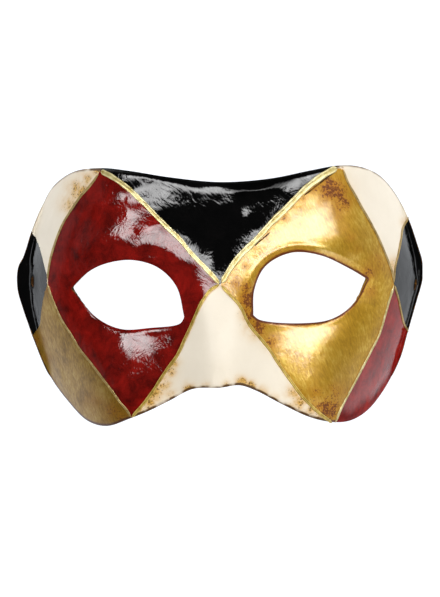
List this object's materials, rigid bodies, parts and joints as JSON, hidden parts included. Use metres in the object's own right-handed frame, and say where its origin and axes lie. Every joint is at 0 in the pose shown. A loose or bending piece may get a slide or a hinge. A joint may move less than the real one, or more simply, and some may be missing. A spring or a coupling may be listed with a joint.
{
  "type": "harlequin eye mask",
  "caption": "Papier-mache half mask with almond eye holes and a nose ridge, painted in red, black, gold and cream diamonds edged in gold.",
  "frame": {"origin": "on the surface that the mask lies on, under the middle of its bounding box", "axes": "+Z out of the face and up as it lies, +Y towards the forehead, +X to the right of someone who looks at the face"},
  "size_m": [0.17, 0.1088, 0.068],
  "materials": {
    "painted_papier_mache": "lacquered red and black, antique gold and crackled cream paint, gold bands"
  },
  "bodies": {
    "root": {"mask": "painted_papier_mache"}
  },
  "joints": []
}
